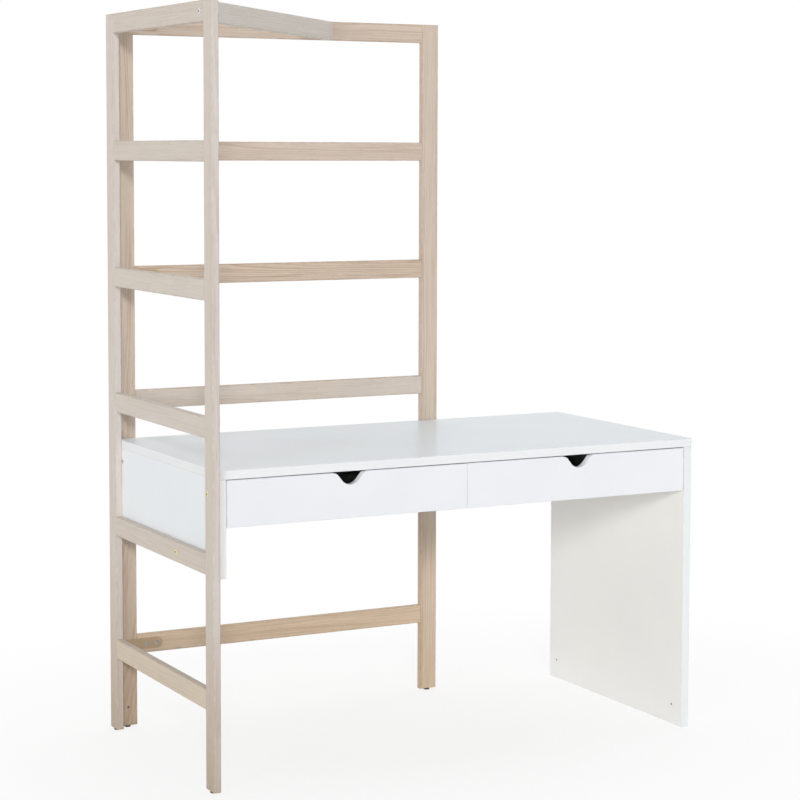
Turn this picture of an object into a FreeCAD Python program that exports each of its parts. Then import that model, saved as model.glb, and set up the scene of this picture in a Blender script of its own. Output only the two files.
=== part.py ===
import FreeCAD, Part
import math
import os
import re

import Sketcher

# Ladder desk: a tall wooden ladder and a rear frame carry the left end and the back of a white
# desk with two drawers on roller runners. The origin is on the floor, under the middle of the
# whole object. X runs along the desk, the user sits on the -Y side, and Z is up. Millimetres.
SIZES = {
    # Overall
    "overall_width": 1368,
    "overall_depth": 700,
    "overall_height": 1870,
    # Planed boards of the ladder and the rear frame
    "board_thickness": 18,
    "board_width": 50,
    "board_chamfer": 1.5,
    "rung_count": 6,
    "lowest_rung_height": 195,
    "tenon_length": 22,
    "tenon_width": 34,
    "tenon_thickness": 8,
    "tenon_play": 0.15,
    "rear_frame_width": 950,
    "frame_hole_diameter": 6,
    "frame_hole_depth": 12,
    "frame_hole_height": 54,
    "brace_front": 58,
    "glide_diameter": 17,
    "glide_height": 5,
    # Steel corner brackets and their screws
    "bracket_leg": 121,
    "bracket_height": 28,
    "bracket_thickness": 3,
    "bracket_screw_from_end": 17,
    "bracket_screw_spacing": 29,
    "bracket_hole_play": 0.25,
    "screw_diameter": 4,
    "screw_reach": 12,
    "screw_head_diameter": 9,
    "screw_head_height": 2,
    # Bolts that hold the desk and the brace to the ladder
    "bolt_diameter": 6,
    "bolt_head_diameter": 12,
    "bolt_head_height": 2,
    "bolt_play": 0.2,
    "bolt_end_gap": 2,
    "post_bolt_from_front": 34,
    "post_bolt_below_top": 55.5,
    "rung_bolt_from_front": 234,
    "spare_hole_from_back": 54,
    "spare_hole_diameter": 8,
    "insert_diameter": 10,
    "insert_length": 14,
    "insert_play": 0.1,
    "brace_bolt_diameter": 5,
    "brace_bolt_reach": 9,
    # Desk carcass
    "desk_height": 770,
    "desk_set_back": 16,
    "desk_back_gap": 2,
    "panel_thickness": 22,
    "panel_rounding": 1,
    "left_panel_below_rung": 8,
    "back_panel_thickness": 18,
    "back_panel_height": 188,
    "divider_thickness": 18,
    "divider_above_fronts": 3,
    "divider_gap": 1,
    "panel_hole_diameter": 6,
    "panel_hole_depth": 10,
    "panel_hole_height": 51.5,
    "panel_hole_from_front": 47,
    "panel_hole_from_back": 37,
    # Drawers
    "front_thickness": 18,
    "front_height": 112,
    "front_gap": 2.5,
    "front_top_gap": 3,
    "cutout_depth": 30,
    "cutout_floor": 28,
    "cutout_mouth": 76,
    "cutout_lip_radius": 18,
    "cutout_floor_radius": 28,
    "side_thickness": 12,
    "side_top_gap": 21,
    "drawer_back_clearance": 78,
    "bottom_thickness": 3,
    "groove_depth": 6,
    "groove_height": 8,
    "groove_play": 0.2,
    # Roller runners
    "runner_gap": 12.5,
    "runner_above_fronts": 7,
    "runner_sheet": 1.2,
    "flange_gap": 1.3,
    "flange_relief": 2,
    "runner_set_back": 2,
    "rail_foot": 0.8,
    "rail_lip": 10,
    "rail_clearance": 0.8,
    "roller_diameter": 17,
    "roller_side_play": 1.05,
    "roller_inset": 12,
    "roller_play": 0.3,
    "pin_diameter": 5,
    "pin_play": 0.08,
    "pin_collar_diameter": 8,
    "pin_collar_gap": 0.2,
    "pin_end": 0.4,
}

doc = FreeCAD.newDocument("LadderDesk")
sheet = doc.addObject("Spreadsheet::Sheet", "Sizes")
for row, (alias, number) in enumerate(SIZES.items(), start=1):
    sheet.set(f"A{row}", alias)
    sheet.set(f"B{row}", str(number))
    sheet.setAlias(f"B{row}", alias)
doc.recompute()

ALIAS = re.compile(r"\b(" + "|".join(SIZES) + r")\b")
PLANES = {"X": "YZ_Plane", "Y": "XZ_Plane", "Z": "XY_Plane"}
AXES = {"X": FreeCAD.Vector(1, 0, 0), "Y": FreeCAD.Vector(0, 1, 0), "Z": FreeCAD.Vector(0, 0, 1)}
TOUCH = 0.01
SCREW_FACET_COUNT = 12
ROLLER_FACET_COUNT = 24
pieces = []


def named(text):
    """Turn a formula in the sheet's aliases into an expression of the document."""
    return ALIAS.sub(r"Sizes.\1", str(text))


def value(text):
    """Give the number that a formula in the sheet's aliases has now."""
    return float(sheet.evalExpression(named(text)))


def piece(label, x, y, z):
    """Start a sub-part whose own origin lies at x, y, z, each a formula."""
    body = doc.addObject("PartDesign::Body", label)
    body.Label = label
    body.AllowCompound = True
    for axis, text in zip("xyz", (x, y, z)):
        body.setExpression(f".Placement.Base.{axis}", named(text))
    pieces.append(body)
    return body


def hold(edge, point, across, up):
    """Give the rules that hold a sketch point at two formulas, each rule with its formula."""
    return [
        (Sketcher.Constraint("DistanceX", -1, 1, edge, point, value(across)), across),
        (Sketcher.Constraint("DistanceY", -1, 1, edge, point, value(up)), up),
    ]


def draw(body, axis, start, outlines, circles):
    """Draw closed outlines and circles on the plane square to an axis, at start along it."""
    sketch = body.newObject("Sketcher::SketchObject", f"{body.Name}_sketch")
    plane = next(item for item in body.Origin.OriginFeatures if item.Role == PLANES[axis])
    sketch.AttachmentSupport = [(plane, "")]
    sketch.MapMode = "FlatFace"
    sign = -1 if axis == "Y" else 1
    sketch.setExpression(".AttachmentOffset.Base.z", named(f"{sign} * ({start})"))
    meetings = []
    rules = []
    for outline in outlines:
        corners = [FreeCAD.Vector(value(across), value(up), 0) for across, up in outline]
        lines = [Part.LineSegment(*ends) for ends in zip(corners, corners[1:] + corners[:1])]
        edges = sketch.addGeometry(lines)
        for index, (across, up) in enumerate(outline):
            meetings.append(Sketcher.Constraint("Coincident", edges[index - 1], 2, edges[index], 1))
            rules += hold(edges[index], 1, across, up)
    for across, up, diameter in circles:
        centre = FreeCAD.Vector(value(across), value(up), 0)
        edge = sketch.addGeometry(Part.Circle(centre, AXES["Z"], value(diameter) / 2))
        rules += hold(edge, 3, across, up)
        rules.append((Sketcher.Constraint("Diameter", edge, value(diameter)), diameter))
    sketch.addConstraint(meetings)
    numbers = sketch.addConstraint([rule for rule, text in rules])
    for number, (rule, text) in zip(numbers, rules):
        sketch.setExpression(f"Constraints[{number}]", named(text))
    return sketch


def add(body, axis, start, length, outlines=(), circles=()):
    """Add material from start, over a length, in the direction of the axis."""
    pad = body.newObject("PartDesign::Pad", f"{body.Name}_pad")
    pad.Profile = draw(body, axis, start, outlines, circles)
    pad.setExpression("Length", named(length))
    pad.Reversed = axis == "Y"
    body.Tip = pad
    return pad


def cut(body, axis, start, length, outlines=(), circles=()):
    """Take material away from start, over a length, in the direction of the axis."""
    pocket = body.newObject("PartDesign::Pocket", f"{body.Name}_pocket")
    pocket.Profile = draw(body, axis, start, outlines, circles)
    pocket.setExpression("Length", named(length))
    pocket.Reversed = axis != "Y"
    body.Tip = pocket
    return pocket


def rectangle(left, low, right, high):
    """Give the corners of a rectangle between two opposite corners."""
    return [(left, low), (right, low), (right, high), (left, high)]


def regular(across, up, diameter, facet_count):
    """Give the corners of a regular polygon in a circle, for small round things that repeat."""
    outline = []
    for corner in range(facet_count):
        turn = 2 * math.pi * corner / facet_count
        side = f"{across} + {math.cos(turn):.9f} * {diameter} / 2"
        outline.append((side, f"{up} + {math.sin(turn):.9f} * {diameter} / 2"))
    return outline


def mirrored(outline, width):
    """Give an outline reflected across the middle of a width, for the other hand."""
    return [(f"{width} - ({across})", up) for across, up in reversed(outline)]


def runs(edge, direction):
    """Tell whether an edge starts off in a direction or against it."""
    return edge.tangentAt(edge.FirstParameter).cross(direction).Length < TOUCH


def ease_edges(body, kind, wanted, size):
    """Fillet or chamfer every edge of the newest feature, in the body's own frame, that is wanted."""
    doc.recompute()
    base = body.Tip
    names = [f"Edge{number}" for number, edge in enumerate(base.Shape.Edges, start=1) if wanted(edge)]
    eased = body.newObject(f"PartDesign::{kind}", f"{body.Name}_{kind.lower()}")
    eased.Base = (base, names)
    eased.setExpression("Radius" if kind == "Fillet" else "Size", named(size))
    body.Tip = eased


def board(label, place, wide, deep, high):
    """Make a plain square-edged board, its low left front corner at place."""
    body = piece(label, *place)
    add(body, "Z", "0", high, [rectangle("0", "0", wide, deep)])
    return body


def planed_board(label, place, wide, deep, high, grain):
    """Make a board of planed wood with a small chamfer on the edges along its grain."""
    body = board(label, place, wide, deep, high)
    ease_edges(body, "Chamfer", lambda edge: runs(edge, AXES[grain]), "board_chamfer")
    return body


def panel(label, place, wide, deep, high, grain):
    """Make a coated panel whose edge bands are rounded along one direction."""
    body = board(label, place, wide, deep, high)
    ease_edges(body, "Fillet", lambda edge: runs(edge, AXES[grain]), "panel_rounding")
    return body


# Main places, as formulas: the outer face of the ladder, its inner face, the front of its
# posts, the front of the rear frame, and how far the rungs rise from the lowest to the top one.
LEFT = "(-overall_width / 2)"
INNER = f"({LEFT} + board_thickness)"
FRONT = "(-overall_depth / 2)"
REAR = f"({FRONT} + overall_depth - board_thickness)"
POST_LENGTH = "(overall_height - glide_height)"
RUNG_RISE = "(overall_height - board_width - lowest_rung_height)"
MORTISE_DEPTH = "(tenon_length + tenon_play)"


def rung_bottom(number):
    """Height of a rung's lower edge, counted down from the top rung, which is number 1."""
    return f"(overall_height - board_width - {number - 1} * {RUNG_RISE} / (rung_count - 1))"


def mortise(body, axis, start):
    """Cut a row of mortises into a post, one for each rung, up the post."""
    thin = "(board_thickness - tenon_thickness) / 2 - tenon_play"
    low = "lowest_rung_height - glide_height + (board_width - tenon_width) / 2 - tenon_play"
    outline = rectangle(
        thin, low, f"board_thickness - ({thin})", f"{low} + tenon_width + 2 * tenon_play"
    )
    first = cut(body, axis, start, MORTISE_DEPTH, [outline])
    row = body.newObject("PartDesign::LinearPattern", f"{body.Name}_mortises")
    row.Originals = [first]
    upright = next(item for item in body.Origin.OriginFeatures if item.Role == "Z_Axis")
    row.Direction = (upright, [""])
    row.setExpression("Length", named(RUNG_RISE))
    row.setExpression("Occurrences", named("rung_count"))
    body.Tip = row


def tenons(body, axis, clear_length):
    """Add a stub tenon to each end of a rung."""
    thin = "(board_thickness - tenon_thickness) / 2"
    low = "(board_width - tenon_width) / 2"
    outline = rectangle(thin, low, f"{thin} + tenon_thickness", f"{low} + tenon_width")
    add(body, axis, "-tenon_length", f"{clear_length} + 2 * tenon_length", [outline])


# Ladder: two posts and their rungs, all flush with each other, in a plane across the desk.
ladder_front_post = planed_board(
    "ladder_front_post", (LEFT, FRONT, "glide_height"),
    "board_thickness", "board_width", POST_LENGTH, "Z",
)
mortise(ladder_front_post, "Y", f"board_width - {MORTISE_DEPTH}")
ladder_back_post = planed_board(
    "ladder_back_post", (LEFT, f"{FRONT} + overall_depth - board_width", "glide_height"),
    "board_thickness", "board_width", POST_LENGTH, "Z",
)
mortise(ladder_back_post, "Y", "0")

RUNG_LENGTH = "(overall_depth - 2 * board_width)"
ladder_rungs = {}
for rung in range(1, SIZES["rung_count"] + 1):
    ladder_rungs[rung] = planed_board(
        f"ladder_rung_{rung}", (LEFT, f"{FRONT} + board_width", rung_bottom(rung)),
        "board_thickness", RUNG_LENGTH, "board_width", "Y",
    )
    tenons(ladder_rungs[rung], "Y", RUNG_LENGTH)

# Rear frame: the same boards turned across the back of the desk, against the ladder's inner face.
rear_left_post = planed_board(
    "rear_left_post", (INNER, REAR, "glide_height"),
    "board_width", "board_thickness", POST_LENGTH, "Z",
)
mortise(rear_left_post, "X", f"board_width - {MORTISE_DEPTH}")
frame_hole = ("board_width / 2", "frame_hole_height - glide_height", "frame_hole_diameter")
cut(rear_left_post, "Y", "0", "frame_hole_depth", circles=[frame_hole])
rear_right_post = planed_board(
    "rear_right_post", (f"{INNER} + rear_frame_width - board_width", REAR, "glide_height"),
    "board_width", "board_thickness", POST_LENGTH, "Z",
)
mortise(rear_right_post, "X", "0")

RAIL_LENGTH = "(rear_frame_width - 2 * board_width)"
rear_rails = {}
for rung in range(1, SIZES["rung_count"] + 1):
    rear_rails[rung] = planed_board(
        f"rear_rail_{rung}", (f"{INNER} + board_width", REAR, rung_bottom(rung)),
        RAIL_LENGTH, "board_thickness", "board_width", "X",
    )
    tenons(rear_rails[rung], "X", RAIL_LENGTH)

# Top brace: a board on edge at 45 degrees across the corner, mitred against the top rung of the
# ladder and the top rail of the rear frame, and held by a bolt through each.
BRACE_RUN = "(overall_depth - board_thickness - brace_front)"
MITRE = "(board_thickness * sqrt(2))"
top_brace = piece("top_brace", INNER, f"{FRONT} + brace_front", rung_bottom(1))
brace_plan = [
    ("0", "0"),
    (BRACE_RUN, BRACE_RUN),
    (f"{BRACE_RUN} - {MITRE}", BRACE_RUN),
    ("0", MITRE),
]
add(top_brace, "Z", "0", "board_width", [brace_plan])
diagonal = FreeCAD.Vector(1, 1, 0).normalize()
ease_edges(top_brace, "Chamfer", lambda edge: runs(edge, diagonal), "board_chamfer")
BRACE_HOLE = "brace_bolt_diameter + 2 * bolt_play"
HALF_HEIGHT = "board_width / 2"
cut(
    top_brace, "X", "0", "brace_bolt_reach + bolt_play",
    circles=[(f"{MITRE} / 2", HALF_HEIGHT, BRACE_HOLE)],
)
cut(
    top_brace, "Y", f"{BRACE_RUN} - brace_bolt_reach - bolt_play", "brace_bolt_reach + bolt_play",
    circles=[(f"{BRACE_RUN} - {MITRE} / 2", HALF_HEIGHT, BRACE_HOLE)],
)

# Each bolt's head is let in flush with the outer face of the board that it goes through.
COUNTERBORE = "bolt_head_diameter + 2 * bolt_play"
brace_bolts = piece("brace_bolts", LEFT, FRONT, rung_bottom(1))
along_ladder = f"brace_front + {MITRE} / 2"
along_rear = f"board_thickness + {BRACE_RUN} - {MITRE} / 2"
add(
    brace_bolts, "X", "0", "bolt_head_height",
    circles=[(along_ladder, HALF_HEIGHT, "bolt_head_diameter")],
)
add(
    brace_bolts, "X", "bolt_head_height", "board_thickness - bolt_head_height + brace_bolt_reach",
    circles=[(along_ladder, HALF_HEIGHT, "brace_bolt_diameter")],
)
add(
    brace_bolts, "Y", "overall_depth - bolt_head_height", "bolt_head_height",
    circles=[(along_rear, HALF_HEIGHT, "bolt_head_diameter")],
)
add(
    brace_bolts, "Y", "overall_depth - board_thickness - brace_bolt_reach",
    "board_thickness - bolt_head_height + brace_bolt_reach",
    circles=[(along_rear, HALF_HEIGHT, "brace_bolt_diameter")],
)
rung_hole = f"{along_ladder} - board_width"
cut(ladder_rungs[1], "X", "0", "board_thickness", circles=[(rung_hole, HALF_HEIGHT, BRACE_HOLE)])
cut(ladder_rungs[1], "X", "0", "bolt_head_height", circles=[(rung_hole, HALF_HEIGHT, COUNTERBORE)])
rail_hole = f"{along_rear} - board_thickness - board_width"
cut(rear_rails[1], "Y", "0", "board_thickness", circles=[(rail_hole, HALF_HEIGHT, BRACE_HOLE)])
cut(
    rear_rails[1], "Y", "board_thickness - bolt_head_height", "bolt_head_height",
    circles=[(rail_hole, HALF_HEIGHT, COUNTERBORE)],
)

# Corner brackets: bent steel strips with round ends, screwed to a rung and to the rail beside it.
BRACKET_RUNGS = (1, SIZES["rung_count"] // 2, SIZES["rung_count"])
FAR_SCREW = "(bracket_leg - bracket_screw_from_end)"
NEAR_SCREW = f"({FAR_SCREW} - bracket_screw_spacing)"
BRACKET_HOLE = "(screw_diameter + 2 * bracket_hole_play)"
corner_brackets = piece("corner_brackets", INNER, REAR, "0")
bracket_screws = piece("bracket_screws", INNER, REAR, "0")
middles = [f"({rung_bottom(rung)} + board_width / 2)" for rung in BRACKET_RUNGS]
straight = "(bracket_leg - bracket_height / 2)"
rear_legs = [
    rectangle("0", f"{middle} - bracket_height / 2", straight, f"{middle} + bracket_height / 2")
    for middle in middles
]
ladder_legs = [
    rectangle(f"-{straight}", f"{middle} - bracket_height / 2", "0", f"{middle} + bracket_height / 2")
    for middle in middles
]
rear_ends = [(straight, middle, "bracket_height") for middle in middles]
ladder_ends = [(f"-{straight}", middle, "bracket_height") for middle in middles]
add(corner_brackets, "Y", "-bracket_thickness", "bracket_thickness", rear_legs)
add(corner_brackets, "Y", "-bracket_thickness", "bracket_thickness", circles=rear_ends)
add(corner_brackets, "X", "0", "bracket_thickness", ladder_legs)
add(corner_brackets, "X", "0", "bracket_thickness", circles=ladder_ends)
for axis, sign, plate, shank, head in (
    ("Y", "", "-bracket_thickness", "-bracket_thickness", "-bracket_thickness - screw_head_height"),
    ("X", "-", "0", "-screw_reach", "bracket_thickness"),
):
    places = [(f"{sign}{screw}", middle) for screw in (NEAR_SCREW, FAR_SCREW) for middle in middles]
    holes = [regular(across, up, BRACKET_HOLE, SCREW_FACET_COUNT) for across, up in places]
    shanks = [regular(across, up, "screw_diameter", SCREW_FACET_COUNT) for across, up in places]
    heads = [regular(across, up, "screw_head_diameter", SCREW_FACET_COUNT) for across, up in places]
    cut(corner_brackets, axis, plate, "bracket_thickness", holes)
    add(bracket_screws, axis, shank, "bracket_thickness + screw_reach", shanks)
    add(bracket_screws, axis, head, "screw_head_height", heads)

# Foot glides: a plastic disc under each of the four posts.
foot_glides = piece("foot_glides", LEFT, FRONT, "0")
glide_places = [
    ("board_thickness / 2", "board_width / 2"),
    ("board_thickness / 2", "overall_depth - board_width / 2"),
    ("board_thickness + board_width / 2", "overall_depth - board_thickness / 2"),
    ("board_thickness + rear_frame_width - board_width / 2", "overall_depth - board_thickness / 2"),
]
glides = [(across, back, "glide_diameter") for across, back in glide_places]
add(foot_glides, "Z", "0", "glide_height", circles=glides)

# Desk carcass: the top lies on the side panels, the back panel and the divider between the
# drawers. The left panel hangs on the ladder and the right one stands on the floor.
DESK_FRONT = f"({FRONT} + desk_set_back)"
DESK_DEPTH = "(overall_depth - board_thickness - desk_back_gap - desk_set_back)"
TOP_UNDERSIDE = "(desk_height - panel_thickness)"
HUNG_RUNG = SIZES["rung_count"] - 1
LEFT_PANEL_BOTTOM = f"({rung_bottom(HUNG_RUNG)} - left_panel_below_rung)"
FRONT_BOTTOM = f"({TOP_UNDERSIDE} - front_top_gap - front_height)"
OPENING = "((overall_width - board_thickness - 2 * panel_thickness - divider_thickness) / 2)"
LEFT_OPENING = f"({INNER} + panel_thickness)"
RIGHT_OPENING = f"({LEFT_OPENING} + {OPENING} + divider_thickness)"
worktop = panel(
    "worktop", (INNER, DESK_FRONT, TOP_UNDERSIDE),
    "overall_width - board_thickness", DESK_DEPTH, "panel_thickness", "X",
)
left_panel = panel(
    "left_panel", (INNER, DESK_FRONT, LEFT_PANEL_BOTTOM),
    "panel_thickness", DESK_DEPTH, f"{TOP_UNDERSIDE} - {LEFT_PANEL_BOTTOM}", "Z",
)
right_panel = panel(
    "right_panel", ("overall_width / 2 - panel_thickness", DESK_FRONT, "0"),
    "panel_thickness", DESK_DEPTH, TOP_UNDERSIDE, "Z",
)
panel_holes = [
    ("panel_hole_from_front", "panel_hole_height", "panel_hole_diameter"),
    (f"{DESK_DEPTH} - panel_hole_from_back", "panel_hole_height", "panel_hole_diameter"),
]
cut(right_panel, "X", "0", "panel_hole_depth", circles=panel_holes)
back_panel = board(
    "back_panel",
    (
        LEFT_OPENING, f"{DESK_FRONT} + {DESK_DEPTH} - back_panel_thickness",
        f"{TOP_UNDERSIDE} - back_panel_height",
    ),
    f"2 * {OPENING} + divider_thickness", "back_panel_thickness", "back_panel_height",
)
centre_divider = board(
    "centre_divider",
    (
        f"{LEFT_OPENING} + {OPENING}", f"{DESK_FRONT} + front_thickness + divider_gap",
        f"{FRONT_BOTTOM} + divider_above_fronts",
    ),
    "divider_thickness", f"{DESK_DEPTH} - front_thickness - divider_gap - back_panel_thickness",
    "front_height + front_top_gap - divider_above_fronts",
)

# Ladder bolts: one through the front post and one through the rung above the lowest, each into a
# threaded insert in the left panel. A third hole in the panel stays free.
POST_BOLT_HEIGHT = "(desk_height - post_bolt_below_top)"
ladder_bolts = piece("ladder_bolts", LEFT, FRONT, "0")
insert_nuts = piece("insert_nuts", INNER, FRONT, "0")
bolt_places = [
    ("post_bolt_from_front", POST_BOLT_HEIGHT),
    ("rung_bolt_from_front", f"{rung_bottom(HUNG_RUNG)} + board_width / 2"),
]
BOLT_HOLE = "bolt_diameter + 2 * bolt_play"
add(
    ladder_bolts, "X", "0", "bolt_head_height",
    circles=[(along, up, "bolt_head_diameter") for along, up in bolt_places],
)
add(
    ladder_bolts, "X", "bolt_head_height",
    "board_thickness - bolt_head_height + insert_length - bolt_end_gap",
    circles=[(along, up, "bolt_diameter") for along, up in bolt_places],
)
inserts = [(along, up, "insert_diameter") for along, up in bolt_places]
threads = [(along, up, BOLT_HOLE) for along, up in bolt_places]
add(insert_nuts, "X", "0", "insert_length", circles=inserts + threads)
for along, up in bolt_places:
    seat = (f"{along} - desk_set_back", f"{up} - {LEFT_PANEL_BOTTOM}", "insert_diameter + 2 * insert_play")
    cut(left_panel, "X", "0", "insert_length", circles=[seat])
spare = (
    "overall_depth - spare_hole_from_back - desk_set_back", f"{POST_BOLT_HEIGHT} - {LEFT_PANEL_BOTTOM}",
    "spare_hole_diameter",
)
cut(left_panel, "X", "0", "insert_length", circles=[spare])
bored_boards = (
    (ladder_front_post, "post_bolt_from_front", f"{POST_BOLT_HEIGHT} - glide_height"),
    (ladder_rungs[HUNG_RUNG], "rung_bolt_from_front - board_width", HALF_HEIGHT),
)
for bored, along, up in bored_boards:
    cut(bored, "X", "0", "board_thickness", circles=[(along, up, BOLT_HOLE)])
    cut(bored, "X", "0", "bolt_head_height", circles=[(along, up, COUNTERBORE)])

# Drawers: each has a front with a finger cut-out, two sides, a back and a thin bottom held in
# grooves, and runs on a pair of sheet steel rails with a nylon roller at each end.
FRONT_BACK = f"({DESK_FRONT} + front_thickness)"
FRONT_WIDTH = "((overall_width - board_thickness - 2 * panel_thickness - 3 * front_gap) / 2)"
DRAWER_LENGTH = f"({DESK_DEPTH} - front_thickness - back_panel_thickness - drawer_back_clearance)"
RUNNER_BOTTOM = f"({FRONT_BOTTOM} + runner_above_fronts)"
SIDE_BOTTOM = f"({RUNNER_BOTTOM} + rail_foot + runner_sheet)"
SIDE_HEIGHT = f"({TOP_UNDERSIDE} - side_top_gap - {SIDE_BOTTOM})"
INNER_WIDTH = f"({OPENING} - 2 * runner_gap - 2 * side_thickness)"
GROOVE = "(bottom_thickness + 2 * groove_play)"
RUNNER_HEIGHT = "(2 * runner_sheet + roller_diameter + 2 * roller_play)"
RAIL_UNDERSIDE = f"({RUNNER_HEIGHT} + rail_clearance)"
ROLLER_OFFSET = "(runner_sheet + roller_side_play)"
ROLLER_WIDTH = f"(runner_gap - 2 * {ROLLER_OFFSET})"
CABINET_AXLE = f"({RAIL_UNDERSIDE} - roller_play - roller_diameter / 2)"
DRAWER_AXLE = "(runner_sheet + roller_play + roller_diameter / 2)"


def drawer_front(label, opening, left):
    """Make a drawer front with its finger cut-out, its left edge at left of the opening."""
    body = piece(label, f"{opening} + {left}", DESK_FRONT, FRONT_BOTTOM)
    middle = f"{FRONT_WIDTH} / 2"
    floor = "(front_height - cutout_depth)"
    outline = [
        ("0", "0"),
        (FRONT_WIDTH, "0"),
        (FRONT_WIDTH, "front_height"),
        (f"{middle} + cutout_mouth / 2", "front_height"),
        (f"{middle} + cutout_floor / 2", floor),
        (f"{middle} - cutout_floor / 2", floor),
        (f"{middle} - cutout_mouth / 2", "front_height"),
        ("0", "front_height"),
    ]
    add(body, "Y", "0", "front_thickness", [outline])
    ease_edges(body, "Fillet", lambda edge: in_cutout(edge, floor), "cutout_floor_radius")
    ease_edges(body, "Fillet", lambda edge: in_cutout(edge, "front_height"), "cutout_lip_radius")
    ease_edges(body, "Fillet", on_front_rim, "panel_rounding")
    groove_left = f"runner_gap + side_thickness - groove_depth - ({left})"
    groove_low = f"{SIDE_BOTTOM} + groove_height - groove_play - {FRONT_BOTTOM}"
    groove = rectangle(
        groove_left, groove_low,
        f"{groove_left} + {INNER_WIDTH} + 2 * groove_depth", f"{groove_low} + {GROOVE}",
    )
    cut(body, "Y", "front_thickness - groove_depth", "groove_depth", [groove])
    return body


def on_front_rim(edge):
    """Tell whether an edge borders the front face at its bottom or at a side."""
    return edge.BoundBox.YMax < TOUCH and edge.BoundBox.ZMin < TOUCH


def in_cutout(edge, height):
    """Tell whether an edge runs through a front at one height of its finger cut-out."""
    across = abs(edge.CenterOfMass.x - value(FRONT_WIDTH) / 2)
    level = abs(edge.CenterOfMass.z - value(height)) < TOUCH
    return runs(edge, AXES["Y"]) and level and across < value(FRONT_WIDTH) / 2 - TOUCH


def drawer_side(label, left, groove_start):
    """Make a drawer side with a groove for the bottom in its inner face."""
    body = board(
        label, (left, FRONT_BACK, SIDE_BOTTOM),
        "side_thickness", DRAWER_LENGTH, SIDE_HEIGHT,
    )
    low = "groove_height - groove_play"
    groove = rectangle("0", low, DRAWER_LENGTH, f"{low} + {GROOVE}")
    cut(body, "X", groove_start, "groove_depth", [groove])
    return body


def drawer_box(name, opening):
    """Make the sides, the back and the bottom of one drawer."""
    left = f"{opening} + runner_gap"
    inner_left = f"{left} + side_thickness"
    drawer_side(f"{name}_left_side", left, "side_thickness - groove_depth")
    drawer_side(f"{name}_right_side", f"{inner_left} + {INNER_WIDTH}", "0")
    bottom_top = "groove_height + bottom_thickness + groove_play"
    board(
        f"{name}_back",
        (inner_left, f"{FRONT_BACK} + {DRAWER_LENGTH} - side_thickness", f"{SIDE_BOTTOM} + {bottom_top}"),
        INNER_WIDTH, "side_thickness", f"{SIDE_HEIGHT} - ({bottom_top})",
    )
    tongue = "(groove_depth - groove_play)"
    bottom = piece(
        f"{name}_bottom", f"{inner_left} - {tongue}", f"{FRONT_BACK} - {tongue}",
        f"{SIDE_BOTTOM} + groove_height",
    )
    sheet_outline = rectangle("0", "0", f"{INNER_WIDTH} + 2 * {tongue}", f"{DRAWER_LENGTH} + {tongue}")
    add(bottom, "Z", "0", "bottom_thickness", [sheet_outline])


def stub_axles(body, back, up, collar, pin):
    """Add a pin with a collar to each rail of a pair, each given by its start and its end."""
    collar_outline = regular(back, up, "pin_collar_diameter", SCREW_FACET_COUNT)
    for (start, end), outlines, circles in (
        (collar, [collar_outline], []),
        (pin, [], [(back, up, "pin_diameter")]),
    ):
        length = f"({end}) - ({start})"
        add(body, "X", start, length, outlines, circles)
        add(body, "X", f"{OPENING} - ({end})", length, outlines, circles)


def cabinet_rails(name, opening):
    """Make the pair of channels that are fixed to the carcass, with stub axles at the front."""
    body = piece(f"{name}_cabinet_rails", opening, f"{FRONT_BACK} + runner_set_back", RUNNER_BOTTOM)
    reach = "(runner_gap - runner_sheet - flange_gap)"
    channel = [
        ("0", "0"),
        (reach, "0"),
        (reach, "runner_sheet"),
        ("runner_sheet", "runner_sheet"),
        ("runner_sheet", f"{RUNNER_HEIGHT} - runner_sheet"),
        (reach, f"{RUNNER_HEIGHT} - runner_sheet"),
        (reach, RUNNER_HEIGHT),
        ("0", RUNNER_HEIGHT),
    ]
    add(body, "Y", "0", DRAWER_LENGTH, [channel, mirrored(channel, OPENING)])
    flange = rectangle("runner_sheet", f"{RUNNER_HEIGHT} - runner_sheet", reach, RUNNER_HEIGHT)
    roller_room = "roller_inset + roller_diameter / 2 + flange_relief"
    cut(body, "Y", "0", roller_room, [flange, mirrored(flange, OPENING)])
    collar = ("0", f"{ROLLER_OFFSET} - pin_collar_gap")
    pin = ("0", f"{ROLLER_OFFSET} + {ROLLER_WIDTH} + pin_end")
    stub_axles(body, "roller_inset", CABINET_AXLE, collar, pin)


def drawer_rails(name, opening):
    """Make the pair of rails under the drawer's sides, with stub axles at the back."""
    body = piece(f"{name}_drawer_rails", opening, FRONT_BACK, RUNNER_BOTTOM)
    web = "(runner_gap - runner_sheet)"
    rail = [
        ("runner_sheet + flange_gap", RAIL_UNDERSIDE),
        (web, RAIL_UNDERSIDE),
        (web, "rail_foot"),
        ("runner_gap + rail_lip", "rail_foot"),
        ("runner_gap + rail_lip", "rail_foot + runner_sheet"),
        ("runner_gap", "rail_foot + runner_sheet"),
        ("runner_gap", f"{RAIL_UNDERSIDE} + runner_sheet"),
        ("runner_sheet + flange_gap", f"{RAIL_UNDERSIDE} + runner_sheet"),
    ]
    add(body, "Y", "0", DRAWER_LENGTH, [rail, mirrored(rail, OPENING)])
    collar = (f"{ROLLER_OFFSET} + {ROLLER_WIDTH} + pin_collar_gap", "runner_gap")
    pin = (f"{ROLLER_OFFSET} - pin_end", "runner_gap")
    stub_axles(body, f"{DRAWER_LENGTH} - roller_inset", DRAWER_AXLE, collar, pin)


def roller(label, left, back, up):
    """Make a nylon roller that turns on a stub axle along X."""
    body = piece(label, left, back, up)
    tread = regular("0", "0", "roller_diameter", ROLLER_FACET_COUNT)
    bore = ("0", "0", "pin_diameter + 2 * pin_play")
    add(body, "X", "0", ROLLER_WIDTH, [tread], [bore])


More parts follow.
